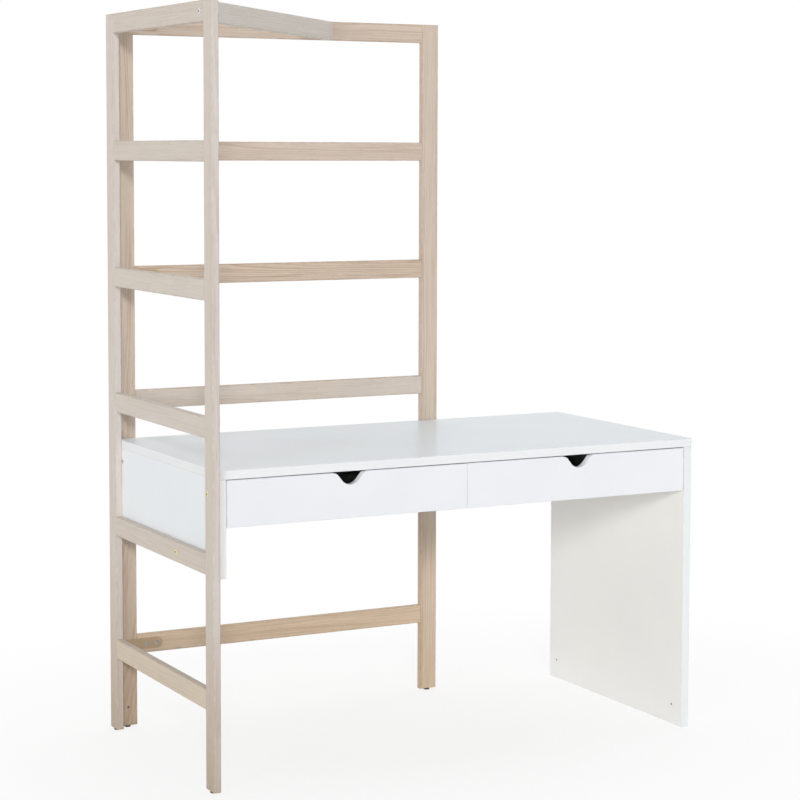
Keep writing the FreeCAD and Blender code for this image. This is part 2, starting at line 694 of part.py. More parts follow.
def drawer(name, opening, front_left):
    """Make one whole drawer with its runners."""
    drawer_front(f"{name}_front", opening, front_left)
    drawer_box(name, opening)
    cabinet_rails(name, opening)
    drawer_rails(name, opening)
    near = f"{opening} + {ROLLER_OFFSET}"
    far = f"{opening} + {OPENING} - {ROLLER_OFFSET} - {ROLLER_WIDTH}"
    front_axle = f"{FRONT_BACK} + runner_set_back + roller_inset"
    back_axle = f"{FRONT_BACK} + {DRAWER_LENGTH} - roller_inset"
    for hand, left in (("left", near), ("right", far)):
        roller(f"{name}_{hand}_cabinet_roller", left, front_axle, f"{RUNNER_BOTTOM} + {CABINET_AXLE}")
        roller(f"{name}_{hand}_drawer_roller", left, back_axle, f"{RUNNER_BOTTOM} + {DRAWER_AXLE}")


drawer("left_drawer", LEFT_OPENING, "front_gap")
drawer("right_drawer", RIGHT_OPENING, "(front_gap - divider_thickness) / 2")

doc.recompute()
faults = [item.Name for item in doc.Objects if {"Invalid", "Error"} & set(item.State)]
faults += [body.Label for body in pieces if body.Shape.isNull() or not body.Shape.isValid()]
if faults:
    raise RuntimeError("These objects failed: " + ", ".join(faults))
os.makedirs("parts", exist_ok=True)
for body in pieces:
    body.Shape.exportStep(f"parts/{body.Label}.step")
print(f"{len(pieces)} sub-parts written")
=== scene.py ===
import math

import bmesh
import bpy
from mathutils import Matrix, Vector


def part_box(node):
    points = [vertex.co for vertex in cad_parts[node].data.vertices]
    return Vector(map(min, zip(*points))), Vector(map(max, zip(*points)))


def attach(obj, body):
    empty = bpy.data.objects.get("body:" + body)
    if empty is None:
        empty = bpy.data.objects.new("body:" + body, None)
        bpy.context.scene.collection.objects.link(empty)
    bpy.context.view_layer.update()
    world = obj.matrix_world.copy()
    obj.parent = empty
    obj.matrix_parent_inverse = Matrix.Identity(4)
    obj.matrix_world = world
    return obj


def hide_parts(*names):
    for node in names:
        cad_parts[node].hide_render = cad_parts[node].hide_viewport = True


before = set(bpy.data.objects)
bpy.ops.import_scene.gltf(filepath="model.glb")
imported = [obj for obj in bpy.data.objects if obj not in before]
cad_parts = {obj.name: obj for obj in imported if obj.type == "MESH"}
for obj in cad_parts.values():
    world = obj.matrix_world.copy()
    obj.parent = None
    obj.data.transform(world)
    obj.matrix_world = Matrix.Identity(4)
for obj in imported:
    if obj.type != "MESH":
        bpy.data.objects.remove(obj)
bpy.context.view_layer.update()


# Ladder: two posts and six rungs of planed softwood, 18 by 50 mm, tenoned and glued with flush faces.
# The wood is lime washed: pale wash lies in the soft early wood, and hard late wood shows as fine lines.
# The long edges are eased, and there the wash is rubbed thin.
SCREEN_WHITE = 255
CURVE_OFFSET = 0.055
CURVE_POWER = 2.4


def tone(red, green, blue):
    """Turn a colour as a screen shows it, 0 to 255, into the linear colour of a shader."""
    shares = [part / SCREEN_WHITE for part in (red, green, blue)]
    linear = [((share + CURVE_OFFSET) / (1 + CURVE_OFFSET)) ** CURVE_POWER for share in shares]
    return (*linear, 1.0)


def feed(tree, source, socket):
    """Join a source to a socket, or set the socket where the source is a plain value."""
    if isinstance(source, bpy.types.NodeSocket):
        tree.links.new(source, socket)
    else:
        socket.default_value = source


def reckon(tree, operation, *values):
    """Work out a number over the surface."""
    node = tree.nodes.new("ShaderNodeMath")
    node.operation = operation
    for value, socket in zip(values, node.inputs):
        feed(tree, value, socket)
    return node.outputs["Value"]


def reckon_vector(tree, operation, *values):
    """Work out a vector over the surface, or a number where the operation gives one."""
    node = tree.nodes.new("ShaderNodeVectorMath")
    node.operation = operation
    for value, socket in zip(values, node.inputs):
        feed(tree, value, socket)
    return node.outputs["Value" if operation == "LENGTH" else "Vector"]


def split_axes(tree, vector):
    """The X, Y and Z of a vector."""
    node = tree.nodes.new("ShaderNodeSeparateXYZ")
    feed(tree, vector, node.inputs["Vector"])
    return node.outputs


def join_channels(tree, *channels):
    """One colour from its red, green and blue."""
    node = tree.nodes.new("ShaderNodeCombineColor")
    for channel, socket in zip(channels, node.inputs):
        feed(tree, channel, socket)
    return node.outputs["Color"]


def cloud(tree, place, per_metre, detail):
    """Soft noise with so many waves per metre along each axis."""
    node = tree.nodes.new("ShaderNodeTexNoise")
    feed(tree, reckon_vector(tree, "MULTIPLY", place, per_metre), node.inputs["Vector"])
    node.inputs["Scale"].default_value = 1.0
    node.inputs["Detail"].default_value = detail
    return node.outputs["Fac"]


def spread(tree, value, low, high, from_low=0.0, from_high=1.0):
    """Bring a value from one range to another, held inside it."""
    node = tree.nodes.new("ShaderNodeMapRange")
    feed(tree, value, node.inputs["Value"])
    feed(tree, from_low, node.inputs["From Min"])
    feed(tree, from_high, node.inputs["From Max"])
    feed(tree, low, node.inputs["To Min"])
    feed(tree, high, node.inputs["To Max"])
    return node.outputs["Result"]


def swing(tree, noise, most):
    """Turn a noise into a number that goes both ways from 0, by so much at most."""
    return reckon(tree, "MULTIPLY", spread(tree, noise, -1, 1), most)


MIX_SHARE = 0
MIX_FIRST_COLOUR = 6
MIX_SECOND_COLOUR = 7
MIX_COLOUR_RESULT = 2


def blend_colour(tree, share, first, second, way="MIX"):
    """Mix two colours by a share that changes over the surface."""
    node = tree.nodes.new("ShaderNodeMix")
    node.data_type = "RGBA"
    node.blend_type = way
    feed(tree, share, node.inputs[MIX_SHARE])
    feed(tree, first, node.inputs[MIX_FIRST_COLOUR])
    feed(tree, second, node.inputs[MIX_SECOND_COLOUR])
    return node.outputs[MIX_COLOUR_RESULT]


def new_effect(name, inputs, outputs):
    """Start a shader node group with named sockets."""
    group = bpy.data.node_groups.new(name, "ShaderNodeTree")
    for title, kind in inputs:
        group.interface.new_socket(title, in_out="INPUT", socket_type=f"NodeSocket{kind}")
    for title, kind in outputs:
        group.interface.new_socket(title, in_out="OUTPUT", socket_type=f"NodeSocket{kind}")
    taken = group.nodes.new("NodeGroupInput").outputs
    given = group.nodes.new("NodeGroupOutput").inputs
    return group, taken, given


def use_effect(tree, group, values):
    """Place a node group in a material with its own values."""
    node = tree.nodes.new("ShaderNodeGroup")
    node.node_tree = group
    for title, value in values.items():
        feed(tree, value, node.inputs[title])
    return node.outputs


def new_finish(name, bump_depth):
    """Start a material: its tree, its shader, and the height socket of a bump of so many metres."""
    material = bpy.data.materials.new(name)
    material.use_nodes = True
    tree = material.node_tree
    shader = tree.nodes["Principled BSDF"]
    bump = tree.nodes.new("ShaderNodeBump")
    bump.inputs["Strength"].default_value = 1.0
    bump.inputs["Distance"].default_value = bump_depth
    tree.links.new(bump.outputs["Normal"], shader.inputs["Normal"])
    return material, tree, shader, bump.inputs["Height"]


def place_at_rest(tree):
    """Where a point of the surface is while nothing has moved, in metres."""
    return tree.nodes.new("ShaderNodeTexCoord").outputs["Object"]


def dress(node, material):
    """Give a solid of the frame its finish."""
    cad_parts[node].data.materials.clear()
    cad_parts[node].data.materials.append(material)


MID_NOISE = (0.3, 0.7)
BOARD_SHIFT = (3.7, 1.3, 2.1)
ACROSS_GRAIN = (0, 1, 1)
DRIFT_WAVES = (1.3, 9, 9)
RING_DRIFT = 0.012
RIPPLE_WAVES = (8, 40, 40)
RING_RIPPLE = 0.0022
LATE_SWELL = 2.6
LATE_END = 0.9
YEARS_PER_BOARD = 61
SOFTEST_YEAR = 0.15
LATE_POLISH = 0.08
LATE_DEPTH = 0.2
FIBRE_WAVES = (11, 620, 620)
FIBRE_NOISE = (0.25, 0.75)
FIBRE_SHADES = (0.93, 1.06)
FIBRE_HEIGHT = 0.4
STREAK_WAVES = (3.5, 130, 130)
STREAK_PEAKS = (0.52, 0.75)
STREAK_SHARE = 0.55
PORE_WAVES = (60, 1400, 1400)
PORE_PEAKS = (0.63, 0.75)
PORE_SHADE = 0.1
PORE_DEPTH = 0.5
PATCH_WAVES = (2.4, 16, 16)
PATCH_WASH = (0.7, 1.25)
PATCH_ROUGHNESS = (0.5, 0.66)
wood_grain, taken, given = new_effect(
    "wood_grain",
    [("Place", "Vector"), ("Heart", "Vector"), ("Lean", "Float"), ("Ring", "Float"), ("Board", "Float"),
     ("Early", "Color"), ("Late", "Color"), ("Lime", "Color"), ("Wash", "Float")],
    [("Color", "Color"), ("Roughness", "Float"), ("Height", "Float")])
tree = wood_grain
board_shift = reckon_vector(tree, "MULTIPLY", taken["Board"], BOARD_SHIFT)
shifted = reckon_vector(tree, "ADD", taken["Place"], board_shift)
drift = swing(tree, cloud(tree, shifted, DRIFT_WAVES, detail=2), RING_DRIFT)
ripple = swing(tree, cloud(tree, shifted, RIPPLE_WAVES, detail=2), RING_RIPPLE)
leaning = tree.nodes.new("ShaderNodeCombineXYZ")
sideways = reckon(tree, "MULTIPLY", split_axes(tree, taken["Place"])["X"], taken["Lean"])
feed(tree, sideways, leaning.inputs["Y"])
from_heart = reckon_vector(tree, "SUBTRACT", taken["Place"], taken["Heart"])
from_heart = reckon_vector(tree, "ADD", from_heart, leaning.outputs["Vector"])
radius = reckon_vector(tree, "LENGTH", reckon_vector(tree, "MULTIPLY", from_heart, ACROSS_GRAIN))
wavy_radius = reckon(tree, "ADD", radius, reckon(tree, "ADD", drift, ripple))
rings = reckon(tree, "DIVIDE", wavy_radius, taken["Ring"])
through = reckon(tree, "FRACT", rings)
swell = reckon(tree, "POWER", through, LATE_SWELL)
fall = spread(tree, through, 1, 0, LATE_END, 1)
year = tree.nodes.new("ShaderNodeTexWhiteNoise")
year.noise_dimensions = "1D"
own_years = reckon(tree, "MULTIPLY", taken["Board"], YEARS_PER_BOARD)
feed(tree, reckon(tree, "ADD", reckon(tree, "FLOOR", rings), own_years), year.inputs["W"])
hardness = spread(tree, year.outputs["Value"], SOFTEST_YEAR, 1)
late_share = reckon(tree, "MULTIPLY", reckon(tree, "MULTIPLY", swell, fall), hardness)
fibre = cloud(tree, shifted, FIBRE_WAVES, detail=3)
streak = spread(tree, cloud(tree, shifted, STREAK_WAVES, detail=2), 0, STREAK_SHARE, *STREAK_PEAKS)
pores = spread(tree, cloud(tree, shifted, PORE_WAVES, detail=1), 0, 1, *PORE_PEAKS)
patches = cloud(tree, shifted, PATCH_WAVES, detail=2)
bare = blend_colour(tree, late_share, taken["Early"], taken["Late"])
bare = blend_colour(tree, streak, bare, taken["Late"])
coverage = reckon(tree, "MULTIPLY", taken["Wash"], spread(tree, patches, *PATCH_WASH, *MID_NOISE))
washed = blend_colour(tree, coverage, bare, taken["Lime"])
fibre_shade = spread(tree, fibre, *FIBRE_SHADES, *FIBRE_NOISE)
shade = reckon(tree, "SUBTRACT", fibre_shade, reckon(tree, "MULTIPLY", pores, PORE_SHADE))
shaded = blend_colour(tree, 1.0, washed, join_channels(tree, shade, shade, shade), "MULTIPLY")
feed(tree, shaded, given["Color"])
polish = reckon(tree, "MULTIPLY", late_share, LATE_POLISH)
feed(tree, reckon(tree, "SUBTRACT", spread(tree, patches, *PATCH_ROUGHNESS), polish), given["Roughness"])
raised_fibre = reckon(tree, "MULTIPLY", fibre, FIBRE_HEIGHT)
sunk_pores = reckon(tree, "MULTIPLY", pores, PORE_DEPTH)
sunk_late = reckon(tree, "MULTIPLY", late_share, LATE_DEPTH)
sunk_grain = reckon(tree, "ADD", sunk_pores, sunk_late)
feed(tree, reckon(tree, "SUBTRACT", raised_fibre, sunk_grain), given["Height"])

UNEVEN_WAVES = (55, 55, 55)
UNEVEN_REACH = (0.25, 1.6)
rubbed_edge, taken, given = new_effect(
    "rubbed_edge", [("Place", "Vector"), ("Half", "Vector"), ("Reach", "Float"), ("Board", "Float")],
    [("Mask", "Float"), ("Depth", "Float")])
tree = rubbed_edge
from_middle = reckon_vector(tree, "ABSOLUTE", taken["Place"])
inside = split_axes(tree, reckon_vector(tree, "SUBTRACT", taken["Half"], from_middle))
along_x = reckon(tree, "MAXIMUM", inside["Y"], inside["Z"])
along_y = reckon(tree, "MAXIMUM", inside["X"], inside["Z"])
along_z = reckon(tree, "MAXIMUM", inside["X"], inside["Y"])
nearest = reckon(tree, "MINIMUM", along_x, reckon(tree, "MINIMUM", along_y, along_z))
own_place = reckon_vector(tree, "ADD", taken["Place"], taken["Board"])
uneven = spread(tree, cloud(tree, own_place, UNEVEN_WAVES, detail=3), *UNEVEN_REACH, *MID_NOISE)
reach = reckon(tree, "MULTIPLY", taken["Reach"], uneven)
feed(tree, reckon(tree, "SUBTRACT", 1.0, reckon(tree, "DIVIDE", nearest, reach)), given["Mask"])
depth = reckon(tree, "MINIMUM", inside["X"], reckon(tree, "MINIMUM", inside["Y"], inside["Z"]))
feed(tree, depth, given["Depth"])

# Mask for painted light near the floor: 1 at the floor, fading to 0 at a ragged height above it.
FLOOR_LIGHT_WAVES = (30, 30, 7)
FLOOR_LIGHT_RAGGEDNESS = 0.08
floor_light_fade, taken, given = new_effect(
    "floor_light_fade", [("Place", "Vector"), ("Height", "Float")], [("Mask", "Float")])
tree = floor_light_fade
ragged = swing(tree, cloud(tree, taken["Place"], FLOOR_LIGHT_WAVES, detail=3), FLOOR_LIGHT_RAGGEDNESS)
above_floor = reckon(tree, "ADD", split_axes(tree, taken["Place"])["Z"], ragged)
feed(tree, spread(tree, above_floor, 1, 0, 0, taken["Height"]), given["Mask"])


def narrow_faces(tree, broad_axis="X"):
    """0 on the broad faces of a board, which look along one axis, and 1 on its other faces."""
    facing = split_axes(tree, tree.nodes.new("ShaderNodeTexCoord").outputs["Normal"])
    return reckon(tree, "SUBTRACT", 1.0, reckon(tree, "ABSOLUTE", facing[broad_axis]))


GRAIN_TURNS = {"X": (0, 0, 0), "Y": (0, 0, -90), "Z": (0, 90, 0), "diagonal": (0, 0, -45)}
WOOD_RELIEF = 0.0005
WOOD_SPECULAR = 0.35
WOOD_EDGE_REACH = 0.0028
WOOD_EDGE_RUB = 0.6
FLOOR_LIGHT_HEIGHT = 0.5


def wood_finish(node, number, grain, heart, lean, ring, colours, wash,
                edge_tint=None, foot_light=None, diagonal_half=None):
    """Lime washed wood for one board, with its grain along the board and its own place in the log.

    An edge tint colours the narrow faces, and a foot light tint multiplies the colour near the floor as
    painted shade and painted warm bounce light.
    A board that lies diagonally gives half its size along the grain, through it and up it."""
    material, tree, shader, height = new_finish(f"lime_washed_{node}", WOOD_RELIEF)
    low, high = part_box(node)
    turn = Matrix.Identity(3)
    angles = [math.radians(angle) for angle in GRAIN_TURNS[grain]]
    for axis, angle in zip("XYZ", angles):
        turn = Matrix.Rotation(angle, 3, axis) @ turn
    centre = turn @ ((low + high) / 2)
    half = turn @ ((high - low) / 2)
    if diagonal_half is not None:
        half = Vector(diagonal_half)
        centre.y += half.y
    place = tree.nodes.new("ShaderNodeMapping")
    place.inputs["Rotation"].default_value = angles
    place.inputs["Location"].default_value = -centre
    tree.links.new(place_at_rest(tree), place.inputs["Vector"])
    early, late, lime = colours
    grained = use_effect(tree, wood_grain, {
        "Place": place.outputs["Vector"], "Heart": (0, *heart), "Lean": lean, "Ring": ring,
        "Board": number, "Early": early, "Late": late, "Lime": lime, "Wash": wash})
    edges = use_effect(tree, rubbed_edge, {
        "Place": place.outputs["Vector"], "Half": [abs(size) for size in half],
        "Reach": WOOD_EDGE_REACH, "Board": number})
    thin = spread(tree, edges["Mask"], 0, WOOD_EDGE_RUB)
    colour = blend_colour(tree, thin, grained["Color"], late)
    if edge_tint:
        colour = blend_colour(tree, narrow_faces(tree), colour, edge_tint, "MULTIPLY")
    if foot_light:
        # Painted light: below the mask's height the colour is multiplied by the foot light tint.
        floor_light = use_effect(tree, floor_light_fade, {"Place": place_at_rest(tree), "Height": FLOOR_LIGHT_HEIGHT})
        colour = blend_colour(tree, floor_light["Mask"], colour, foot_light, "MULTIPLY")
    feed(tree, colour, shader.inputs["Base Color"])
    feed(tree, grained["Roughness"], shader.inputs["Roughness"])
    feed(tree, grained["Height"], height)
    shader.inputs["Specular IOR Level"].default_value = WOOD_SPECULAR
    dress(node, material)


LADDER_TONES = (tone(216, 203, 188), tone(184, 163, 142), tone(221, 214, 206))
EDGE_TINT = (0.97, 0.98, 1.04, 1.0)
# Painted shade: the feet of the posts grow darker and warmer towards the floor.
FOOT_PAINTED_SHADE = (0.87, 0.82, 0.75, 1.0)
# Painted warm bounce light from the floor on the lowest rung and the lowest rail.
LOW_PAINTED_BOUNCE = (1.1, 1.02, 0.86, 1.0)
wood_finish("ladder_front_post", number=1, grain="Z", heart=(0.034, -0.012), lean=0.004, ring=0.0036,
            colours=LADDER_TONES, wash=0.55, edge_tint=EDGE_TINT, foot_light=FOOT_PAINTED_SHADE)
wood_finish("ladder_back_post", number=2, grain="Z", heart=(-0.02, 0.041), lean=-0.006, ring=0.0034,
            colours=LADDER_TONES, wash=0.6, edge_tint=EDGE_TINT, foot_light=FOOT_PAINTED_SHADE)
FIRST_RUNG_BOARD = 3
RUNG_RING = 0.0034
RUNG_HEARTS = [(0.021, 0.036), (-0.03, 0.029), (0.04, -0.035),
               (0.014, 0.052), (-0.038, -0.03), (0.028, 0.044)]
RUNG_LEANS = [0.02, -0.012, 0.034, 0.009, -0.026, 0.016]
RUNG_WASHES = [0.4, 0.42, 0.6, 0.62, 0.5, 0.62]
RUNG_FEET = [None, None, None, None, None, LOW_PAINTED_BOUNCE]
for order, (heart, lean, wash, foot) in enumerate(zip(RUNG_HEARTS, RUNG_LEANS, RUNG_WASHES, RUNG_FEET)):
    wood_finish(f"ladder_rung_{order + 1}", number=FIRST_RUNG_BOARD + order, grain="Y", heart=heart,
                lean=lean, ring=RUNG_RING, colours=LADDER_TONES, wash=wash,
                edge_tint=EDGE_TINT, foot_light=foot)


# Rear frame: two posts and six rails of the same boards, tenoned together.
# It is screwed to the ladder in a corner. Its wash is thinner, so the brown late wood shows more.
REAR_TONES = (tone(215, 196, 178), tone(173, 139, 108), tone(216, 205, 194))
# The rear left post has lighter tones as painted light, against the shade that the back post casts on it.
LEFT_POST_PAINTED_LIGHT_TONES = (tone(224, 206, 188), tone(176, 140, 107), tone(224, 212, 200))
# Painted warm shade under the desk on the lower part of the rear right post.
RIGHT_FOOT_PAINTED_SHADE = (1.0, 0.96, 0.86, 1.0)
wood_finish("rear_left_post", number=11, grain="Z", heart=(0.026, 0.033), lean=0.08, ring=0.0052,
            colours=LEFT_POST_PAINTED_LIGHT_TONES, wash=0.3, foot_light=FOOT_PAINTED_SHADE)
wood_finish("rear_right_post", number=12, grain="Z", heart=(-0.035, 0.03), lean=-0.004, ring=0.004,
            colours=REAR_TONES, wash=0.4, foot_light=RIGHT_FOOT_PAINTED_SHADE)
FIRST_RAIL_BOARD = 13
RAIL_RING = 0.0044
RAIL_HEARTS = [(0.03, 0.03), (-0.034, 0.02), (0.012, 0.026),
               (0.036, -0.022), (-0.02, 0.038), (0.027, -0.034)]
RAIL_LEANS = [0.004, -0.012, 0.017, -0.007, 0.01, -0.015]
RAIL_WASHES = [0.32, 0.38, 0.0, 0.85, 0.3, 0.3]
RAIL_FEET = [None, None, None, None, None, LOW_PAINTED_BOUNCE]
for order, (heart, lean, wash, foot) in enumerate(zip(RAIL_HEARTS, RAIL_LEANS, RAIL_WASHES, RAIL_FEET)):
    wood_finish(f"rear_rail_{order + 1}", number=FIRST_RAIL_BOARD + order, grain="X", heart=heart,
                lean=lean, ring=RAIL_RING, colours=REAR_TONES, wash=wash, foot_light=foot)


# Top brace: a board on edge that runs at 45 degrees from the top rung to the top rail.
# It stiffens the corner, is cut to a mitre at both ends and is washed as the ladder is.
BRACE_TONES = (tone(223, 214, 203), tone(193, 175, 157), tone(227, 221, 214))
BRACE_HALF = (0.45, 0.009, 0.025)
wood_finish("top_brace", number=20, grain="diagonal", heart=(0.03, 0.04), lean=0.006, ring=0.0043,
            colours=BRACE_TONES, wash=0.6, diagonal_half=BRACE_HALF)


# Brace bolts: two zinc plated machine bolts with low domed heads and a cross recess, dark with old oil and
# painted shade.
# One goes through the top rung and one through the top rail into the ends of the brace.
TURNED_SIDES = 48
SAME_POINT = 1e-6


def turned(profile):
    """A solid of revolution about Z from (radius, height) points, from its top to its foot on the axis."""
    solid = bmesh.new()
    corners = [solid.verts.new((radius, 0, height)) for radius, height in profile]
    edges = [solid.edges.new(pair) for pair in zip(corners, corners[1:])]
    bmesh.ops.spin(solid, geom=corners + edges, axis=(0, 0, 1), cent=(0, 0, 0),
                   angle=2 * math.pi, steps=TURNED_SIDES)
    bmesh.ops.remove_doubles(solid, verts=solid.verts, dist=SAME_POINT)
    bmesh.ops.recalc_face_normals(solid, faces=solid.faces)
    mesh = bpy.data.meshes.new("turned")
    solid.to_mesh(mesh)
    solid.free()
    return mesh


def prism(outline, top, bottom, taper):
    """A tool that has an outline at its top height and narrows to a share of it at its bottom height."""
    solid = bmesh.new()
    upper = [solid.verts.new((x, y, top)) for x, y in outline]
    lower = [solid.verts.new((x * taper, y * taper, bottom)) for x, y in outline]
    solid.faces.new(upper)
    solid.faces.new(list(reversed(lower)))
    for n in range(len(outline)):
        after = (n + 1) % len(outline)
        solid.faces.new((upper[n], lower[n], lower[after], upper[after]))
    bmesh.ops.recalc_face_normals(solid, faces=solid.faces)
    mesh = bpy.data.meshes.new("recess")
    solid.to_mesh(mesh)
    solid.free()
    return mesh


def sunk(mesh, metal, tool):
    """The mesh in its metal, with the tool's shape taken out of it and grime with painted shade inside."""
    mesh.materials.append(metal)
    tool.materials.append(recess_grime_and_shade)
    stock = bpy.data.objects.new("stock", mesh)
    cutter = bpy.data.objects.new("cutter", tool)
    for thing in (stock, cutter):
        bpy.context.scene.collection.objects.link(thing)
    punch = stock.modifiers.new("punch", "BOOLEAN")
    punch.operation = "DIFFERENCE"
    punch.solver = "EXACT"
    punch.material_mode = "TRANSFER"
    punch.object = cutter
    ready = stock.evaluated_get(bpy.context.evaluated_depsgraph_get())
    made = bpy.data.meshes.new_from_object(ready)
    for thing in (stock, cutter):
        bpy.data.objects.remove(thing)
    return made


CROSS_ARMS = 4


def cross(reach, width):
    """The outline of a cross recess."""
    arm = [(reach, -width), (reach, width), (width, width)]
    outline = []
    for _ in range(CROSS_ARMS):
        outline += arm
        arm = [(-y, x) for x, y in arm]
    return outline


CROWN_REACH = 0.94
CROWN_ANGLES = [math.radians(angle) for angle in (15, 30, 45, 60, 75)]
RIM_TOP = 0.85
RIM_FOOT = 0.15
SEAT_REACH = 0.96
THREAD_ROOT = 0.8
CREST_AT = 0.4
ROOT_AT = 0.8
TIP_SHOULDER = 0.72
TIP_LENGTH = 0.4
TIP_END = 0.4


def screw_shape(metal, head_radius, head_height, flatness, shank_radius, reach, pitch, recess,
                collar=(0, 0)):
    """A screw with its head's seat at height 0, a low crowned head above, and a threaded shank below.

    A collar of a radius and a depth fills the counterbore under the head."""
    crown = head_height * (1 - flatness)
    shoulder = head_height - crown
    head = [(0, head_height)]
    for angle in CROWN_ANGLES:
        head.append((head_radius * CROWN_REACH * math.sin(angle), shoulder + crown * math.cos(angle)))
    rim = [(head_radius, shoulder * RIM_TOP), (head_radius, shoulder * RIM_FOOT)]
    rim.append((head_radius * SEAT_REACH, 0))
    collar_radius, collar_depth = collar
    shank = [(collar_radius, 0), (collar_radius, -collar_depth)] if collar_depth else []
    root_radius = shank_radius * THREAD_ROOT
    shank.append((root_radius, -collar_depth))
    depth = collar_depth + pitch
    while depth < reach - pitch:
        shank.append((root_radius, -depth))
        shank.append((shank_radius, -depth - pitch * CREST_AT))
        shank.append((root_radius, -depth - pitch * ROOT_AT))
        depth += pitch
    shank.append((shank_radius * TIP_SHOULDER, -reach + pitch * TIP_LENGTH))
    shank += [(shank_radius * TIP_END, -reach), (0, -reach)]
    return sunk(turned(head + rim + shank), metal, recess)


HARDWARE_CREASE = math.radians(32)


def hardware(name, shape, seats, slot, body, *nodes):
    """Set copies of a shape on their seats, each a point, an outward direction and a turn, as one piece.

    The piece rides on a body and stands for the nodes that it is given."""
    joined = bmesh.new()
    for point, outward, turn in seats:
        copy = shape.copy()
        facing = Vector(outward).to_track_quat("Z", "Y").to_matrix().to_4x4()
        copy.transform(Matrix.Translation(point) @ facing @ Matrix.Rotation(math.radians(turn), 4, "Z"))
        joined.from_mesh(copy)
        bpy.data.meshes.remove(copy)
    mesh = bpy.data.meshes.new(name)
    joined.to_mesh(mesh)
    joined.free()
    for material in shape.materials:
        mesh.materials.append(material)
    mesh.shade_smooth()
    mesh.set_sharp_from_angle(angle=HARDWARE_CREASE)
    piece = bpy.data.objects.new(name, mesh)
    bpy.context.scene.collection.objects.link(piece)
    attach(piece, body)
    if nodes:
        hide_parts(*nodes)


TARNISH_WAVES = (420, 420, 420)
TARNISH_PEAKS = (0.35, 0.7)
SCRATCH_WAVES = (2600, 900, 300)
SCRATCH_ROUGHNESS = (-0.06, 0.12)
SCRATCH_HEIGHT = 0.5
METAL_RELIEF = 0.00004
worn_metal, taken, given = new_effect(
    "worn_metal", [("Place", "Vector"), ("Bright", "Color"), ("Dull", "Color"), ("Polish", "Float")],
    [("Color", "Color"), ("Roughness", "Float"), ("Height", "Float")])
tree = worn_metal
tarnish = cloud(tree, taken["Place"], TARNISH_WAVES, detail=4)
scratches = cloud(tree, taken["Place"], SCRATCH_WAVES, detail=2)
dulled = spread(tree, tarnish, 0, 1, *TARNISH_PEAKS)
feed(tree, blend_colour(tree, dulled, taken["Bright"], taken["Dull"]), given["Color"])
scratched = spread(tree, scratches, *SCRATCH_ROUGHNESS, *MID_NOISE)
feed(tree, reckon(tree, "ADD", taken["Polish"], scratched), given["Roughness"])
scored = reckon(tree, "MULTIPLY", scratches, SCRATCH_HEIGHT)
feed(tree, reckon(tree, "ADD", scored, tarnish), given["Height"])


def metal_finish(name, bright, dull, polish):
    """Bare or plated metal with tarnish and fine scratches."""
    material, tree, shader, height = new_finish(name, METAL_RELIEF)
    worn = use_effect(tree, worn_metal, {
        "Place": place_at_rest(tree), "Bright": bright, "Dull": dull, "Polish": polish})
    feed(tree, worn["Color"], shader.inputs["Base Color"])
    feed(tree, worn["Roughness"], shader.inputs["Roughness"])
    feed(tree, worn["Height"], height)
    shader.inputs["Metallic"].default_value = 1.0
    return material


zinc = metal_finish("zinc_plate", tone(236, 238, 240), tone(196, 199, 203), polish=0.2)
# The recesses are dark: partly old oil and grime, partly painted shade in the hollows.
recess_grime_and_shade = metal_finish("recess_grime_and_shade", tone(96, 86, 72), tone(58, 52, 45), polish=0.6)
COUNTERBORE_RADIUS = 0.006
BOLT_COLLAR = (COUNTERBORE_RADIUS, 0.002)
BOLT_HEAD = {"head_radius": 0.007, "head_height": 0.0022, "flatness": 0.35}
brace_bolt_recess = prism(cross(reach=0.0036, width=0.0010), top=0.003, bottom=-0.0012, taper=0.6)
brace_bolt = screw_shape(zinc, **BOLT_HEAD, shank_radius=0.0025, reach=0.026, pitch=0.0009,
                         recess=brace_bolt_recess, collar=BOLT_COLLAR)
RUNG_BOLT_TURN = 24
RAIL_BOLT_TURN = 61
rung_low, rung_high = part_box("ladder_rung_1")
bolt_low, bolt_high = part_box("brace_bolts")
bolt_height = (rung_low.z + rung_high.z) / 2
rung_bolt = (bolt_low.x, bolt_low.y + COUNTERBORE_RADIUS, bolt_height)
rail_bolt = (bolt_high.x - COUNTERBORE_RADIUS, bolt_high.y, bolt_height)
brace_bolt_seats = [(rung_bolt, (-1, 0, 0), RUNG_BOLT_TURN), (rail_bolt, (0, 1, 0), RAIL_BOLT_TURN)]
hardware("brace_bolt_pair", brace_bolt, brace_bolt_seats, "zinc", "desk", "brace_bolts")


# Corner brackets: three strips of 3 mm steel with rounded ends, bent square and coated in a warm grey.
# Each lies in the inner corner between a rung and a rail and is held by four screws.
PEEL_WAVES = (850, 850, 850)
HANDLING_WAVES = (45, 45, 45)
HANDLING_SHADES = (0.94, 1.03)
HANDLING_ROUGHNESS = (-0.06, 0.08)
powder_coat, taken, given = new_effect(
    "powder_coat", [("Place", "Vector"), ("Coat", "Color"), ("Gloss", "Float")],
    [("Color", "Color"), ("Roughness", "Float"), ("Height", "Float")])
tree = powder_coat
handling = cloud(tree, taken["Place"], HANDLING_WAVES, detail=3)
marks = spread(tree, handling, *HANDLING_SHADES, *MID_NOISE)
marked = blend_colour(tree, 1.0, taken["Coat"], join_channels(tree, marks, marks, marks), "MULTIPLY")
feed(tree, marked, given["Color"])
smoothed = spread(tree, handling, *HANDLING_ROUGHNESS, *MID_NOISE)
feed(tree, reckon(tree, "ADD", taken["Gloss"], smoothed), given["Roughness"])
feed(tree, cloud(tree, taken["Place"], PEEL_WAVES, detail=2), given["Height"])


